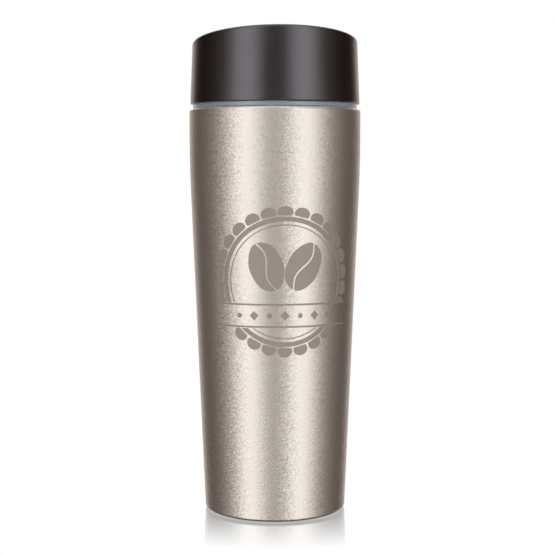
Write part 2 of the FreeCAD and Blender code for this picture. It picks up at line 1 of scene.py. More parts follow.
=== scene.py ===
"""Insulated travel mug: finishes, etched seal, spring, studio and camera round its CAD frame."""

import json
import math

import bpy
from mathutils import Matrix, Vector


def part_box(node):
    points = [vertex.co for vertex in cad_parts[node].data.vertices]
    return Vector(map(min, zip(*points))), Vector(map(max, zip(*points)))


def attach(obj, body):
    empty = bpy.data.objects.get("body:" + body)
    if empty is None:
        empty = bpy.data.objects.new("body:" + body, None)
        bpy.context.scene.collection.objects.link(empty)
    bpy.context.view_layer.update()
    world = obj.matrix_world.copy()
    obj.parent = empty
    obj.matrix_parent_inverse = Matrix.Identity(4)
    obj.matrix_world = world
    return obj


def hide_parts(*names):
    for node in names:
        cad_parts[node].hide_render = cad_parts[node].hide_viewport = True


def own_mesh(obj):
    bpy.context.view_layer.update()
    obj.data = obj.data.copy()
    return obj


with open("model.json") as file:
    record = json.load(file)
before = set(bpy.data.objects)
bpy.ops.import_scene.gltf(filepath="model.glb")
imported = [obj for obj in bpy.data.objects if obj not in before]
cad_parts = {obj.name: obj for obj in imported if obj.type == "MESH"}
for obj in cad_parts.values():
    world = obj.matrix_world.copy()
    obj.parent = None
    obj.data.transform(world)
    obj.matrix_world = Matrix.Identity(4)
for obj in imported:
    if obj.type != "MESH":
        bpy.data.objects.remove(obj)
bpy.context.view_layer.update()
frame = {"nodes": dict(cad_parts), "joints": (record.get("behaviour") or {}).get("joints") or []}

bl_info = {
    "name": "Insulated Travel Mug",
    "version": (1, 0, 0),
    "blender": (4, 5, 0),
    "location": "View3D > Sidebar > Mug",
    "description": "Finishes the travel mug round its CAD frame and sets up its studio",
    "category": "Object",
}

MM = 0.001


# ---- Sizes --------------------------------------------------------------------------------
FOOT_RADIUS = 29.8 * MM  # of the shell's tapered wall, carried down to the floor
TAPER_TOP = 146.4 * MM
MOUTH_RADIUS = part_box("outer_shell")[1].x
MOUTH_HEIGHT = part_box("outer_shell")[1].z
RIM_BAND = (0.8 * MM, 0.3 * MM)  # below the mouth, where the rim's paint ends
FOOT_BAND = (0.6 * MM, 1.6 * MM)  # above the floor, where painted contact shade darkens the foot's edge
BUTTON_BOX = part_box("push_button")
PORT_Y = (BUTTON_BOX[0].y + BUTTON_BOX[1].y) / 2
PRESS = next(joint for joint in frame["joints"] if joint["name"] == "button_press")
TRAVEL = PRESS["range_m"][1]

SPRING_WIRE = 0.9 * MM
SPRING_TURNS = 4.5
SPRING_STEPS = 32  # points round one turn
CLOSED_PITCH = 1.02 * SPRING_WIRE  # of the first and last turns

FILM = 0.06 * MM  # thickness of the seal's artwork
SLICE = 1.2 * MM  # width of its upright slices
SEAM = 0.004 * MM  # points closer than this are merged

# ---- Seal drawing, in parts of the seal's radius ------------------------------------------
BAND = (0.80, 0.862)
RING = (0.745, 0.760)
ROUND_SIDES = 208
PETAL_RADIUS = 0.082
PETAL_STRETCH = 1.22
PETAL_CUT = 0.045
PETAL_PLACE = 0.922
BEAN_HALF_LENGTH = 0.335
BEAN_HALF_WIDTH = 0.225
BEAN_GROOVE = 0.022
BEAN_WAVE = 0.055
BEAN_SLICES = 24
BEAN_TURN = 0.42  # radians
BEAN_PLACE = (0.25, 0.20)
RIBBON = (-0.595, -0.30)
RIBBON_GAP = 0.02
RIBBON_HALF_LENGTH = 0.985
RIBBON_LINE = 0.024
DIAMOND = (0.062, 4)  # radius and sides
DOT = (0.034, 24)
BEAD_PITCH = 0.21
BEADS_EACH_SIDE = 3

# ---- Colours ------------------------------------------------------------------------------
WHITE = (1.0, 1.0, 1.0)
BARE_STEEL = (0.62, 0.61, 0.60)
LINER_STEEL = (0.72, 0.71, 0.69)
PLATE_STEEL = (0.60, 0.59, 0.575)
SCREW_STEEL = (0.55, 0.55, 0.56)
# painted contact shade: the near-black colour the foot's edge fades to, standing in for the floor's
# shadow
CONTACT_SHADE_COLOUR = (0.030, 0.026, 0.023)
FOIL = (0.80, 0.80, 0.79)
SOLDER_GLASS = (0.16, 0.09, 0.05)
GETTER = (0.11, 0.11, 0.115)
RUBBER = (0.022, 0.022, 0.024)
SCUFF = (0.075, 0.072, 0.068)
PLASTIC_SHEEN = (1.0, 0.93, 0.99)
SEAL_SILICONE = (0.55, 0.57, 0.60)
VALVE_POLYMER = (0.70, 0.70, 0.67)
WIRE = (0.52, 0.52, 0.53)
TEMPER_FILM = (0.34, 0.27, 0.20)

# ---- Studio -------------------------------------------------------------------------------
FLOOR_RADIUS = 4.0
FLOOR_MIRROR = 0.6  # share of the floor that mirrors, next to the mug
MIRROR_FADE = 36 * MM
MIRROR_REACH = 68 * MM
BOX_START = (15.5, 28.5)  # degrees round from the camera, as are the next three
BOX_END = (46.0, 69.0)
SPILL_END = (60.0, 105.0)
WALL_START = (137.0, 152.0)
SIDE_LIGHTS_END = (0.70, 0.90)  # sine of the height in the sky, as is the next
TOP_LIGHT_START = (0.55, 0.90)
SPILL_SHARE = 0.12  # of the softboxes' strength
SPILL_BETWEEN = 0.4  # of that, straight ahead between the boxes
WALL_STRENGTH = 1.4
TOP_STRENGTH = 1.15
BOX_TINT = (0.985, 1.04, 1.09)
SPILL_TINT = (1.0, 0.80, 0.62)
WALL_TINT = (1.0, 0.89, 0.84)
ROOM = (0.050, 0.024, 0.008)
SENSOR_WIDTH = 36  # millimetres


# ---- What a user would change -------------------------------------------------------------
class MugFinish(bpy.types.PropertyGroup):
    """Colours and grain of the mug's finishes."""

    paint: bpy.props.FloatVectorProperty(
        name="Paint",
        description="Colour of the metallic paint",
        subtype="COLOR",
        size=3,
        min=0,
        max=1,
        default=(0.45, 0.413, 0.380),
    )
    flake: bpy.props.FloatProperty(
        name="Flake size",
        description="Size of one grain of the metallic paint",
        subtype="DISTANCE",
        unit="LENGTH",
        min=0.0001,
        max=0.003,
        default=0.00036,
    )
    plastic: bpy.props.FloatVectorProperty(
        name="Lid plastic",
        description="Colour of the lid's moulded plastic",
        subtype="COLOR",
        size=3,
        min=0,
        max=1,
        default=(0.0028, 0.0021, 0.0026),
    )
    silicone: bpy.props.FloatVectorProperty(
        name="Gasket",
        description="Colour of the translucent gasket",
        subtype="COLOR",
        size=3,
        min=0,
        max=1,
        default=(0.215, 0.235, 0.285),
    )


class MugSeal(bpy.types.PropertyGroup):
    """The round seal etched into the paint."""

    height: bpy.props.FloatProperty(
        name="Seal height",
        description="Height of the seal's middle above the foot",
        subtype="DISTANCE",
        unit="LENGTH",
        min=0.05,
        max=0.13,
        default=0.0994,
    )
    radius: bpy.props.FloatProperty(
        name="Seal radius",
        description="Outer radius of the seal, measured round the wall",
        subtype="DISTANCE",
        unit="LENGTH",
        min=0.01,
        max=0.04,
        default=0.0305,
    )
    lobes: bpy.props.IntProperty(
        name="Seal lobes",
        description="Number of round lobes on the seal's edge",
        min=8,
        max=48,
        default=26,
    )
    colour: bpy.props.FloatVectorProperty(
        name="Etch",
        description="Colour of the etched areas",
        subtype="COLOR",
        size=3,
        min=0,
        max=1,
        default=(0.185, 0.153, 0.131),
    )


class MugStudio(bpy.types.PropertyGroup):
    """Camera and studio light."""

    distance: bpy.props.FloatProperty(
        name="Camera distance",
        description="Distance from the mug's axis to the camera, measured level",
        subtype="DISTANCE",
        unit="LENGTH",
        min=0.3,
        max=3,
        default=0.5602,
    )
    height: bpy.props.FloatProperty(
        name="Camera height",
        description="Height of the camera above the floor",
        subtype="DISTANCE",
        unit="LENGTH",
        min=0.01,
        max=1,
        default=0.143,
    )
    pitch: bpy.props.FloatProperty(
        name="Camera pitch",
        description="How far the camera looks down",
        subtype="ANGLE",
        unit="ROTATION",
        min=-0.5,
        max=0.5,
        default=math.radians(4.53),
    )
    turn: bpy.props.FloatProperty(
        name="Camera turn",
        description="Camera's angle round the mug, from its front",
        subtype="ANGLE",
        unit="ROTATION",
        min=-math.pi,
        max=math.pi,
        default=math.radians(-7.0),
    )
    lens: bpy.props.FloatProperty(
        name="Lens",
        description="Focal length in millimetres for a 36 mm sensor",
        min=20,
        max=300,
        default=85.6,
    )
    aim: bpy.props.FloatProperty(
        name="Camera aim",
        description="How far the camera looks to the right of the mug's axis",
        subtype="ANGLE",
        unit="ROTATION",
        min=-0.5,
        max=0.5,
        default=math.radians(0.11),
    )
    softbox: bpy.props.FloatProperty(
        name="Softbox strength",
        description="Brightness of the two tall softboxes",
        min=0,
        max=20,
        default=2.85,
    )


# ---- Shader expressions -------------------------------------------------------------------
class Value:
    """A number socket that can be used in Python expressions."""

    def __init__(self, shader, socket):
        self.shader = shader
        self.socket = socket

    def _math(self, operation, *others):
        return self.shader.maths(operation, self, *others)

    def __add__(self, other):
        return self._math("ADD", other)

    __radd__ = __add__

    def __sub__(self, other):
        return self._math("SUBTRACT", other)

    def __rsub__(self, other):
        return self.shader.maths("SUBTRACT", other, self)

    def __mul__(self, other):
        return self._math("MULTIPLY", other)

    __rmul__ = __mul__

    def __truediv__(self, other):
        return self._math("DIVIDE", other)

    def __abs__(self):
        return self._math("ABSOLUTE")

    def sqrt(self):
        return self._math("SQRT")

    def sin(self):
        return self._math("SINE")

    def min(self, other):
        return self._math("MINIMUM", other)

    def max(self, other):
        return self._math("MAXIMUM", other)

    def angle_to(self, other):
        """Angle of the point (other, self)."""
        return self._math("ARCTAN2", other)

    def step(self, low, high):
        """0 below low, 1 above high, smooth between."""
        settings = {"interpolation_type": "SMOOTHSTEP"}
        return self.shader.node("ShaderNodeMapRange", settings, {0: self, 1: low, 2: high})


class Shader:
    """Builds the nodes of one material, or of the world."""

    def __init__(self, name, world=False):
        self.owner = (bpy.data.worlds if world else bpy.data.materials).new(name)
        self.owner.use_nodes = True
        self.tree = self.owner.node_tree
        self.tree.nodes.clear()
        kind = "ShaderNodeOutputWorld" if world else "ShaderNodeOutputMaterial"
        self.output = self.tree.nodes.new(kind)

    def node(self, kind, settings=None, inputs=None, output=0):
        """Any node: its settings first, then the values or links of its sockets."""
        made = self.tree.nodes.new(kind)
        for key, value in (settings or {}).items():
            setattr(made, key, value)
        for key, value in (inputs or {}).items():
            if isinstance(value, Value):
                self.tree.links.new(value.socket, made.inputs[key])
            else:
                made.inputs[key].default_value = value
        return Value(self, made.outputs[output])

    def maths(self, operation, *numbers):
        """Number maths on numbers or number sockets."""
        return self.node("ShaderNodeMath", {"operation": operation}, dict(enumerate(numbers)))

    def place(self):
        return self.node("ShaderNodeTexCoord", output="Object")

    def parts(self, vector):
        """The three numbers of a vector."""
        split = self.tree.nodes.new("ShaderNodeSeparateXYZ")
        self.tree.links.new(vector.socket, split.inputs[0])
        return [Value(self, socket) for socket in split.outputs]

    def joined(self, *numbers):
        """A vector from three numbers."""
        return self.node("ShaderNodeCombineXYZ", None, dict(enumerate(numbers)))

    def vector(self, operation, *vectors):
        """Vector maths on vectors or colours."""
        return self.node("ShaderNodeVectorMath", {"operation": operation}, dict(enumerate(vectors)))

    def noise(self, vector, scale, detail=2.0, roughness=0.5):
        inputs = {"Vector": vector, "Scale": scale, "Detail": detail, "Roughness": roughness}
        return self.node("ShaderNodeTexNoise", None, inputs)

    def cells(self, vector, scale):
        """A random colour for each small cell."""
        return self.node("ShaderNodeTexVoronoi", None, {"Vector": vector, "Scale": scale}, "Color")

    def mix(self, factor, first, second):
        """Colour mix."""
        inputs = {0: factor, 6: first, 7: second}
        return self.node("ShaderNodeMix", {"data_type": "RGBA"}, inputs, 2)

    def scaled(self, vector, scale):
        """A vector or colour times a number."""
        settings = {"operation": "SCALE"}
        return self.node("ShaderNodeVectorMath", settings, {0: vector, "Scale": scale})

    def tinted(self, colour, shade):
        """A colour, darker or lighter by a number that changes over the surface."""
        return self.scaled(tuple(colour), shade)

    def bump(self, height, distance, strength):
        inputs = {"Height": height, "Distance": distance, "Strength": strength}
        return self.node("ShaderNodeBump", None, inputs)

    def tilted(self, cells, tilt):
        """The surface's normal, leaning by each cell's own colour."""
        lean = self.scaled(self.vector("SUBTRACT", cells, (0.5, 0.5, 0.5)), tilt)
        flat = self.node("ShaderNodeNewGeometry", output="Normal")
        return self.vector("NORMALIZE", self.vector("ADD", flat, lean))

    def surface(self, **sockets):
        """Principled shader, with socket names written with underscores."""
        inputs = {name.replace("_", " "): value for name, value in sockets.items()}
        return self.node("ShaderNodeBsdfPrincipled", None, inputs)

    def finish(self, surface):
        self.tree.links.new(surface.socket, self.output.inputs["Surface"])
        return self.owner


def rgb(colour):
    return (*colour, 1.0)


# ---- Finishes -----------------------------------------------------------------------------
def paint_material(finish):
    """Champagne metallic paint of tilted flakes, bare at the rim, with painted contact shade
    darkening the foot's edge.
    """
    s = Shader("champagne_flake_paint")
    place = s.place()
    z = s.parts(place)[2]
    grain = s.noise(place, 1.1 / finish.flake, 2.0, 0.6)
    flakes = s.cells(place, 1.0 / finish.flake)
    speck = s.parts(flakes)[0]
    bare = z.step(MOUTH_HEIGHT - RIM_BAND[0], MOUTH_HEIGHT - RIM_BAND[1])
    # Painted contact shade: the lowest 1.6 mm of the paint fades to near black, as if shaded where
    # it meets the floor
    contact_shade = (1.0 - z.step(*FOOT_BAND)) * (0.80 + grain * 0.30)
    paint = s.tinted(finish.paint, 0.85 + grain * 0.08 + speck * 0.17)
    shaded_foot = s.mix(contact_shade, paint, rgb(CONTACT_SHADE_COLOUR))
    surface = s.surface(
        Base_Color=s.mix(bare, shaded_foot, rgb(BARE_STEEL)),
        Metallic=0.92,
        Roughness=0.44 + (grain - 0.5) * 0.12 - bare * 0.14,
        Normal=s.tilted(flakes, 0.135),
        Coat_Weight=0.06,
        Coat_Roughness=0.25,
    )
    return s.finish(surface)


def etch_material(seal):
    """Smooth flat grey-brown that the laser leaves, with faint scan lines."""
    s = Shader("laser_etch")
    place = s.place()
    z = s.parts(place)[2]
    lines = (z * (2 * math.pi / (0.12 * MM))).sin()
    patches = s.noise(place, 320.0, 3.0, 0.6)
    shade = 0.94 + patches * 0.12 + lines * 0.015
    surface = s.surface(
        Base_Color=s.tinted(seal.colour, shade),
        Metallic=0.0,
        Roughness=0.52 + (patches - 0.5) * 0.12,
        Normal=s.bump(lines, 0.004 * MM, 0.4),
    )
    return s.finish(surface)


def plastic_material(name, colour, roughness, grain=1.0):
    """Moulded plastic with fine spark-eroded grain and a few soft rub marks."""
    s = Shader(name)
    place = s.place()
    texture = s.noise(place, 2600.0, 3.0, 0.65)
    patches = s.noise(place, 45.0, 4.0, 0.6)
    rubs = s.noise(place, 260.0, 5.0, 0.7).step(0.60, 0.78)
    rough = roughness + (patches - 0.5) * 0.10 - rubs * 0.05
    lift = 1.0 + (patches - 0.5) * 0.20
    base = s.tinted(colour, lift)
    normal = s.bump(texture, 0.02 * MM * grain, 0.6)
    surface = s.surface(
        Base_Color=base,
        Roughness=rough,
        Normal=normal,
        Specular_IOR_Level=0.78,
        Specular_Tint=rgb(PLASTIC_SHEEN),
    )
    return s.finish(surface)


def silicone_material(name, colour, clear=0.12):
    """Soft translucent silicone with a faint milky cloud and dust."""
    s = Shader(name)
    place = s.place()
    cloud = s.noise(place, 220.0, 3.0, 0.5)
    dust = s.noise(place, 1900.0, 4.0, 0.7).step(0.62, 0.80)
    lift = 0.90 + cloud * 0.20 + dust * 0.12
    base = s.tinted(colour, lift)
    rough = 0.26 + cloud * 0.10 + dust * 0.15
    normal = s.bump(cloud, 0.02 * MM, 0.4)
    surface = s.surface(
        Base_Color=base,
        Roughness=rough,
        Normal=normal,
        Subsurface_Weight=0.7,
        Subsurface_Radius=(0.6, 0.65, 0.7),
        Subsurface_Scale=0.002,
        Transmission_Weight=clear,
        Specular_IOR_Level=0.8,
        Sheen_Weight=0.7,
        Sheen_Roughness=0.4,
        IOR=1.41,
    )
    return s.finish(surface)


def turned_steel_material(name, colour, roughness, pitch, about=(0.0, 0.0), metallic=1.0):
    """Bare steel with fine marks that run round the axis, as spinning and polishing leave them."""
    s = Shader(name)
    x, y, z = s.parts(s.place())
    dx, dy = x - about[0], y - about[1]
    away = (dx * dx + dy * dy).sqrt()
    lines = s.noise(s.joined(away / pitch, z / pitch, dy.angle_to(dx) * 0.35), 1.0, 3.0, 0.6)
    haze = s.noise(s.joined(x, y, z), 90.0, 4.0, 0.6)
    rough = roughness + (lines - 0.5) * 0.14 + (haze - 0.5) * 0.10
    lift = 0.94 + lines * 0.10
    base = s.tinted(colour, lift)
    normal = s.bump(lines, 0.006 * MM, 0.5)
    surface = s.surface(Base_Color=base, Metallic=metallic, Roughness=rough, Normal=normal)
    return s.finish(surface)


def rubber_material():
    """Matte black pad with fine stipple and pale scuffs where it meets the table."""
    s = Shader("pad_rubber")
    place = s.place()
    z = s.parts(place)[2]
    stipple = s.noise(place, 2600.0, 3.0, 0.6)
    scuffs = s.noise(place, 120.0, 6.0, 0.75).step(0.55, 0.75)
    worn = scuffs * (1.0 - z.step(0.0, 0.2 * MM))
    colour = s.mix(worn * 0.5, rgb(RUBBER), rgb(SCUFF))
    rough = 0.78 + stipple * 0.12 - worn * 0.1
    normal = s.bump(stipple, 0.03 * MM, 0.6)
    surface = s.surface(Base_Color=colour, Roughness=rough, Normal=normal)
    return s.finish(surface)


def polymer_material(name, colour, roughness):
    """Smooth engineering plastic with a faint flow cloud."""
    s = Shader(name)
    place = s.place()
    flow = s.noise(place, 140.0, 4.0, 0.6)
    surface = s.surface(
        Base_Color=s.tinted(colour, 0.93 + flow * 0.14),
        Roughness=roughness + (flow - 0.5) * 0.12,
        Normal=s.bump(s.noise(place, 3000.0), 0.006 * MM, 0.4),
    )
    return s.finish(surface)


def speckled_material(name, colour, metallic, roughness, scale):
    """Sintered, crumpled or fired stock whose colour and height vary with its grain."""
    s = Shader(name)
    place = s.place()
    grain = s.noise(place, scale, 4.0, 0.65)
    surface = s.surface(
        Base_Color=s.tinted(colour, 0.75 + grain * 0.5),
        Metallic=metallic,
        Roughness=roughness + (grain - 0.5) * 0.2,
        Normal=s.bump(grain, 0.05 * MM, 0.6),
    )
    return s.finish(surface)


def wire_material():
    """Drawn spring wire: bright, with fine flecks and a little brown film from tempering."""
    s = Shader("spring_wire")
    place = s.place()
    flecks = s.noise(place, 3800.0, 3.0, 0.7)
    film = s.noise(place, 300.0, 4.0, 0.6).step(0.48, 0.75)
    surface = s.surface(
        Base_Color=s.mix(film * 0.35, rgb(WIRE), rgb(TEMPER_FILM)),
        Metallic=1.0,
        Roughness=0.24 + flecks * 0.14,
        Normal=s.bump(flecks, 0.006 * MM, 0.4),
    )
    return s.finish(surface)


def floor_material():
    """White floor that mirrors the mug's foot, fades to plain white and is clear from below."""
    s = Shader("studio_floor")
    x, y, _ = s.parts(s.place())
    away = (x * x + y * y).sqrt()
    fading = (away - MIRROR_REACH) * (-FLOOR_MIRROR / MIRROR_FADE)
    mirrored = fading.max(0.0).min(FLOOR_MIRROR)
    white = s.node("ShaderNodeEmission", None, {"Color": rgb(WHITE), "Strength": 1.0})
    mirror = s.node("ShaderNodeBsdfGlossy", None, {"Color": rgb(WHITE), "Roughness": 0.0})
    top = s.node("ShaderNodeMixShader", None, {0: mirrored, 1: white, 2: mirror})
    underside = s.node("ShaderNodeNewGeometry", output="Backfacing")
    clear = s.node("ShaderNodeBsdfTransparent")
    return s.finish(s.node("ShaderNodeMixShader", None, {0: underside, 1: top, 2: clear}))


def studio_world(studio):
    """Two tall softboxes by the camera, a dim warm room, a pale wall behind and a top light."""
    s = Shader("studio", world=True)
    strength = studio.softbox
    x, y, z = s.parts(s.node("ShaderNodeTexCoord", output="Generated"))
    ahead = x * math.sin(studio.turn) - y * math.cos(studio.turn)
    side = x * math.cos(studio.turn) + y * math.sin(studio.turn)
    turned = abs(side).angle_to(ahead) * (180 / math.pi)
    level = 1.0 - abs(z).step(*SIDE_LIGHTS_END)
    inner = turned.step(*BOX_START)
    box = inner * (1.0 - turned.step(*BOX_END))
    between = SPILL_BETWEEN + inner * (1.0 - SPILL_BETWEEN)
    spill = between * (1.0 - turned.step(*SPILL_END)) * level * (strength * SPILL_SHARE)
    wall = turned.step(*WALL_START) * level * WALL_STRENGTH
    top = z.step(*TOP_LIGHT_START) * TOP_STRENGTH
    white = s.tinted(BOX_TINT, box * strength * level + top)
    far = s.vector("ADD", s.tinted(ROOM, level), s.tinted(WALL_TINT, wall))
    warm = s.vector("ADD", far, s.tinted(SPILL_TINT, spill))
    camera = s.node("ShaderNodeLightPath", output="Is Camera Ray")
    in_floor = s.node("ShaderNodeLightPath", output="Is Singular Ray")
    colour = s.mix(camera.max(in_floor), s.vector("ADD", white, warm), rgb(WHITE))
    return s.finish(s.node("ShaderNodeBackground", None, {"Color": colour, "Strength": 1.0}))


# ---- Modelling ----------------------------------------------------------------------------
def nothing_selected():
    if bpy.context.mode != "OBJECT":
        bpy.ops.object.mode_set(mode="OBJECT")
    bpy.ops.object.select_all(action="DESELECT")


def clothe(material, *nodes):
    """Gives CAD nodes their finish."""
    for name in nodes:
        slots = frame["nodes"][name].data.materials
        slots.clear()
        slots.append(material)


def named(name):
    made = bpy.context.object
    made.name = name
    made.data.name = name
    return made


def flat_disc(name, radius, sides, x=0.0, z=0.0):
    """Filled disc in the plane of the mug's front, as flat artwork."""
    nothing_selected()
    bpy.ops.mesh.primitive_circle_add(
        vertices=sides,
        radius=radius,
        fill_type="NGON",
        location=(x, 0, z),
        rotation=(math.pi / 2, 0, 0),
    )
    bpy.ops.object.transform_apply(location=True, rotation=True, scale=True)
    return named(name)


def flat_ring(name, inner, outer, sides):
    """Flat ring of artwork round the origin."""
    made = flat_disc(name, outer, sides)
    bpy.ops.object.mode_set(mode="EDIT")
    bpy.ops.mesh.select_all(action="SELECT")
    bpy.ops.mesh.inset(thickness=outer - inner, use_even_offset=True)
    bpy.ops.mesh.delete(type="FACE")
    bpy.ops.object.mode_set(mode="OBJECT")
    return made


def flat_bar(name, half_length, height, z):
    """Flat level bar of artwork."""
    nothing_selected()
    bpy.ops.mesh.primitive_plane_add(size=2, location=(0, 0, z), rotation=(math.pi / 2, 0, 0))
    made = named(name)
    made.scale = (half_length, height / 2, 1)
    bpy.ops.object.transform_apply(location=True, rotation=True, scale=True)
    return made


def cut_away(made, point, normal):
    """Removes the artwork on the far side of a straight cut."""
    nothing_selected()
    bpy.context.view_layer.objects.active = made
    made.select_set(True)
    bpy.ops.object.mode_set(mode="EDIT")
    bpy.ops.mesh.select_all(action="SELECT")
    bpy.ops.mesh.bisect(plane_co=point, plane_no=normal, clear_outer=True)
    bpy.ops.object.mode_set(mode="OBJECT")


def copied(made, name):
    twin = made.copy()
    twin.data = made.data.copy()
    twin.name = name
    twin.data.name = name
    bpy.context.scene.collection.objects.link(twin)
    return twin


def turned_and_moved(made, angle, x=0.0, z=0.0):
    """Turns flat artwork in its own plane, then moves it, and keeps the place in its mesh."""
    nothing_selected()
    made.select_set(True)
    bpy.context.view_layer.objects.active = made
    made.rotation_euler = (0, angle, 0)
    made.location = (x, 0, z)
    bpy.ops.object.transform_apply(location=True, rotation=True, scale=True)
    return made


def joined(name, pieces):
    nothing_selected()
    for piece in pieces:
        piece.select_set(True)
    bpy.context.view_layer.objects.active = pieces[0]
    bpy.ops.object.join()
    return named(name)


def seal_petals(k, lobes):
    """Round lobes that stand separately round the edge of the seal."""
    petal = flat_disc("petal", PETAL_RADIUS * k, 28)
    nothing_selected()
    petal.select_set(True)
    petal.scale = (PETAL_STRETCH, 1, 1)
    bpy.ops.object.transform_apply(scale=True)
    cut_away(petal, (0, 0, -PETAL_CUT * k), (0, 0, -1))
    turned_and_moved(petal, 0, 0, PETAL_PLACE * k)
    turns = [i * 2 * math.pi / lobes for i in range(lobes)]
    made = [turned_and_moved(copied(petal, "petal"), turn) for turn in turns]
    bpy.data.objects.remove(petal)
    return made


def seal_bean(k, side):
    """Coffee bean: two halves that meet along a curved groove."""
    long, wide = BEAN_HALF_LENGTH * k, BEAN_HALF_WIDTH * k
    half = flat_disc("bean_half", wide, 64)
    nothing_selected()
    half.select_set(True)
    half.scale = (1, 1, long / wide)
    bpy.ops.object.transform_apply(scale=True)
    cut_away(half, (BEAN_GROOVE * k / 2, 0, 0), (-1, 0, 0))
    bpy.ops.object.mode_set(mode="EDIT")
    for i in range(1, BEAN_SLICES):
        height = long * (2 * i / BEAN_SLICES - 1)
        bpy.ops.mesh.select_all(action="SELECT")
        bpy.ops.mesh.bisect(plane_co=(0, 0, height), plane_no=(0, 0, 1))
    bpy.ops.object.mode_set(mode="OBJECT")
    for v in half.data.vertices:
        inward = 1 - max(0.0, v.co.x) / wide
        v.co.x += BEAN_WAVE * k * inward * math.sin(math.pi * v.co.z / long)
    other = turned_and_moved(copied(half, "bean_half"), math.pi)
    bean = joined("bean", [half, other])
    x, z = BEAN_PLACE
    return turned_and_moved(bean, side * BEAN_TURN, side * x * k, z * k)


def seal_beads(k, z):
    """Row of diamonds and dots along the ribbon."""
    beads = []
    for i in range(-BEADS_EACH_SIDE, BEADS_EACH_SIDE + 1):
        size, sides = DIAMOND if i % 2 == 0 else DOT
        beads.append(flat_disc("bead", size * k, sides, i * BEAD_PITCH * k, z))
    return beads


def wound_spring(bottom, top, radius):
    """Closed-end compression spring round the button's axis."""
    height = top - bottom - SPRING_WIRE
    pitch = (height - 2 * CLOSED_PITCH) / (SPRING_TURNS - 2)
    nothing_selected()
    bpy.ops.curve.primitive_bezier_curve_add()
    made = named("return_spring_coil")
    made.data.splines.clear()
    line = made.data.splines.new("POLY")
    line.points.add(round(SPRING_TURNS * SPRING_STEPS))
    for i, point in enumerate(line.points):
        turn = i / SPRING_STEPS
        lower, upper = min(turn, 1), max(turn - SPRING_TURNS + 1, 0)
        z = (lower + upper) * CLOSED_PITCH + (turn - lower - upper) * pitch
        angle = 2 * math.pi * turn
        x, y = radius * math.cos(angle), PORT_Y + radius * math.sin(angle)
        point.co = (x, y, bottom + SPRING_WIRE / 2 + z, 1)
    made.data.dimensions = "3D"
    made.data.bevel_depth = SPRING_WIRE / 2
    made.data.bevel_resolution = 4
    made.data.use_fill_caps = True
    bpy.ops.object.convert(target="MESH")
    made = named("return_spring_coil")
    bpy.ops.object.mode_set(mode="EDIT")
    bpy.ops.mesh.select_all(action="SELECT")
    bpy.ops.mesh.remove_doubles(threshold=0.001 * MM)
    bpy.ops.mesh.normals_make_consistent(inside=False)
    bpy.ops.object.mode_set(mode="OBJECT")
    bpy.ops.object.shade_smooth_by_angle(angle=math.radians(50))
    return made


def wall_radius(height):
    """Radius of the shell's tapered wall at a height."""
    return FOOT_RADIUS + (MOUTH_RADIUS - FOOT_RADIUS) * height / TAPER_TOP


def wrapped(made, seal):
    """Lays flat artwork on the tapered wall, in narrow upright slices, as a thin closed film."""
    nothing_selected()
    made.select_set(True)
    bpy.context.view_layer.objects.active = made
    bpy.ops.object.mode_set(mode="EDIT")
    slices = math.ceil(seal.radius / SLICE)
    for i in range(-slices, slices + 1):
        bpy.ops.mesh.select_all(action="SELECT")
        bpy.ops.mesh.bisect(plane_co=(i * SLICE, 0, 0), plane_no=(1, 0, 0))
    bpy.ops.mesh.select_all(action="SELECT")
    bpy.ops.mesh.remove_doubles(threshold=SEAM)
    bpy.ops.object.mode_set(mode="OBJECT")
    for v in made.data.vertices:
        turn = v.co.x / wall_radius(seal.height)
        height = seal.height + v.co.z
        radius = wall_radius(height)
        v.co = (radius * math.sin(turn), -radius * math.cos(turn), height)
    film = made.modifiers.new("film", "SOLIDIFY")
    film.thickness = FILM
    film.offset = 0.0
    bpy.ops.object.modifier_apply(modifier=film.name)
    return made


def placed(piece, body, material):
    """Gives a finished piece its material and slot, and lets it ride on its body."""
    piece.data.materials.clear()
    piece.data.materials.append(material)
    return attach(piece, body)


# ---- Operators ----------------------------------------------------------------------------
class MUG_OT_body(bpy.types.Operator):
    """Finish the shell, the liner and the pieces of the vacuum and the base"""

    bl_idname = "mug.body"
    bl_label = "Mug body"

    def execute(self, context):
        finish = context.scene.mug_finish
        liner = turned_steel_material("liner_steel", LINER_STEEL, 0.36, 0.35 * MM, metallic=0.6)
        plate = turned_steel_material("plate_steel", PLATE_STEEL, 0.34, 0.5 * MM)
        clip = turned_steel_material("clip_steel", PLATE_STEEL, 0.30, 0.2 * MM)
        clothe(paint_material(finish), "outer_shell")
        clothe(liner, "inner_liner")
        clothe(plate, "vacuum_base", "bottom_cap")
        clothe(clip, "getter_clip")
        clothe(speckled_material("reflecting_foil", FOIL, 1.0, 0.22, 380.0), "heat_foil")
        clothe(speckled_material("solder_glass", SOLDER_GLASS, 0.0, 0.20, 900.0), "vacuum_seal")
        clothe(speckled_material("getter_alloy", GETTER, 0.7, 0.62, 2400.0), "getter")
        clothe(rubber_material(), "base_pad")
        return {"FINISHED"}


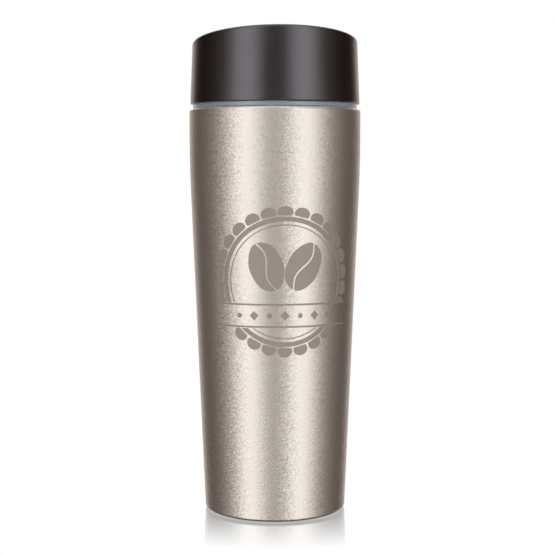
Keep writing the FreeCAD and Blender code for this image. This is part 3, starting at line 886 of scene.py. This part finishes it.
class MUG_OT_seal(bpy.types.Operator):
    """Etch the round seal into the front of the shell"""

    bl_idname = "mug.seal"
    bl_label = "Etched seal"

    def execute(self, context):
        seal = context.scene.mug_seal
        k = seal.radius
        ribbon_bottom, ribbon_top = (edge * k for edge in RIBBON)
        gap = RIBBON_GAP * k
        etch = etch_material(seal)
        band = flat_ring("seal_band", BAND[0] * k, BAND[1] * k, ROUND_SIDES)
        ring = flat_ring("seal_ring", RING[0] * k, RING[1] * k, ROUND_SIDES)
        round_pieces = {
            "seal_petals": joined("seal_petals", seal_petals(k, seal.lobes)),
            "seal_rings": joined("seal_rings", [band, ring]),
        }
        for name, made in round_pieces.items():
            lower = copied(made, name + "_lower")
            cut_away(made, (0, 0, ribbon_top + gap), (0, 0, -1))
            cut_away(lower, (0, 0, ribbon_bottom - gap), (0, 0, 1))
            placed(wrapped(joined(name, [made, lower]), seal), "mug", etch)
        beans = joined("seal_beans", [seal_bean(k, side) for side in (-1, 1)])
        placed(wrapped(beans, seal), "mug", etch)
        half_length, thick = RIBBON_HALF_LENGTH * k, RIBBON_LINE * k
        edges = (ribbon_top, ribbon_bottom)
        lines = [flat_bar("ribbon_line", half_length, thick, edge) for edge in edges]
        beads = seal_beads(k, (ribbon_top + ribbon_bottom) / 2)
        ribbon = joined("seal_ribbon", lines + beads)
        placed(wrapped(ribbon, seal), "mug", etch)
        return {"FINISHED"}


class MUG_OT_lid(bpy.types.Operator):
    """Finish the lid's cover, core and guide cup, and the fixings inside"""

    bl_idname = "mug.lid"
    bl_label = "Lid"

    def execute(self, context):
        colour = context.scene.mug_finish.plastic
        clothe(plastic_material("lid_plastic", colour, 0.33), "lid_cover")
        clothe(plastic_material("core_plastic", colour, 0.30, 0.5), "lid_core", "guide_cup")
        screws = turned_steel_material("screw_steel", SCREW_STEEL, 0.32, 0.3 * MM)
        washer = turned_steel_material("washer_steel", SCREW_STEEL, 0.28, 0.2 * MM, (0.0, PORT_Y))
        clothe(screws, "guide_screws")
        clothe(washer, "spring_washer")
        return {"FINISHED"}


class MUG_OT_gaskets(bpy.types.Operator):
    """Finish the gasket that shows and the seals inside the lid"""

    bl_idname = "mug.gaskets"
    bl_label = "Gasket and seals"

    def execute(self, context):
        colour = context.scene.mug_finish.silicone
        clothe(silicone_material("gasket_silicone", colour), "lid_gasket")
        milky = silicone_material("seal_silicone", SEAL_SILICONE, 0.1)
        clothe(milky, "cover_seal", "guide_cup_seal", "stem_seal", "valve_seal")
        return {"FINISHED"}


class MUG_OT_button(bpy.types.Operator):
    """Finish the thumb button, its stem and the valve"""

    bl_idname = "mug.button"
    bl_label = "Button and valve"

    def execute(self, context):
        colour = tuple(1.25 * c for c in context.scene.mug_finish.plastic)
        clothe(plastic_material("button_plastic", colour, 0.32, 0.7), "push_button")
        polymer = polymer_material("valve_polymer", VALVE_POLYMER, 0.30)
        about = (0.0, PORT_Y)
        screw = turned_steel_material("valve_screw_steel", SCREW_STEEL, 0.30, 0.2 * MM, about)
        clothe(polymer, "push_stem", "valve_disc")
        clothe(screw, "valve_screw")
        return {"FINISHED"}


class MUG_OT_spring(bpy.types.Operator):
    """Wind the return spring, with a closed turn at each end"""

    bl_idname = "mug.spring"
    bl_label = "Return spring"

    def execute(self, context):
        low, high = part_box("return_spring")
        spring = wound_spring(low.z, high.z, high.x - SPRING_WIRE / 2)
        placed(spring, "lid", wire_material())
        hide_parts("return_spring")
        1 - TRAVEL / (high.z - low.z)
        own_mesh(spring)
        return {"FINISHED"}


class MUG_OT_studio(bpy.types.Operator):
    """Set up the floor, the light and the camera"""

    bl_idname = "mug.studio"
    bl_label = "Studio"

    def execute(self, context):
        scene = context.scene
        studio = scene.mug_studio
        nothing_selected()
        bpy.ops.mesh.primitive_circle_add(vertices=96, radius=FLOOR_RADIUS, fill_type="NGON")
        floor = named("studio_floor")
        floor.data.materials.append(floor_material())
        for ray in ("diffuse", "glossy", "transmission", "volume_scatter", "shadow"):
            setattr(floor, "visible_" + ray, False)
        scene.world = studio_world(studio)
        scene.view_settings.view_transform = "Standard"
        level = studio.distance
        place = (level * math.sin(studio.turn), -level * math.cos(studio.turn), studio.height)
        bpy.ops.object.camera_add(location=place)
        camera = bpy.context.object
        camera.rotation_euler = (math.pi / 2 - studio.pitch, 0, studio.turn - studio.aim)
        camera.data.sensor_width = SENSOR_WIDTH
        camera.data.lens = studio.lens
        camera.data.clip_start = 0.01
        scene.camera = camera
        return {"FINISHED"}


# ---- Sidebar ------------------------------------------------------------------------------
STEPS = (
    MUG_OT_body,
    MUG_OT_seal,
    MUG_OT_lid,
    MUG_OT_gaskets,
    MUG_OT_button,
    MUG_OT_spring,
    MUG_OT_studio,
)
GROUPS = {"mug_finish": MugFinish, "mug_seal": MugSeal, "mug_studio": MugStudio}


class MUG_PT_sidebar(bpy.types.Panel):
    """The mug's settings and its building steps"""

    bl_label = "Travel mug"
    bl_idname = "MUG_PT_sidebar"
    bl_space_type = "VIEW_3D"
    bl_region_type = "UI"
    bl_category = "Mug"

    def draw(self, context):
        for name, group in GROUPS.items():
            box = self.layout.box()
            for setting in group.__annotations__:
                box.prop(getattr(context.scene, name), setting)
        for step in STEPS:
            self.layout.operator(step.bl_idname)


def register():
    for made in (*GROUPS.values(), *STEPS, MUG_PT_sidebar):
        bpy.utils.register_class(made)
    for name, group in GROUPS.items():
        setattr(bpy.types.Scene, name, bpy.props.PointerProperty(type=group))


def unregister():
    for name in GROUPS:
        delattr(bpy.types.Scene, name)
    for made in (MUG_PT_sidebar, *reversed(STEPS), *GROUPS.values()):
        bpy.utils.unregister_class(made)


def main():
    register()
    bpy.ops.mug.body()
    bpy.ops.mug.seal()
    bpy.ops.mug.lid()
    bpy.ops.mug.gaskets()
    bpy.ops.mug.button()
    bpy.ops.mug.spring()
    bpy.ops.mug.studio()


if __name__ == "__main__":
    main()
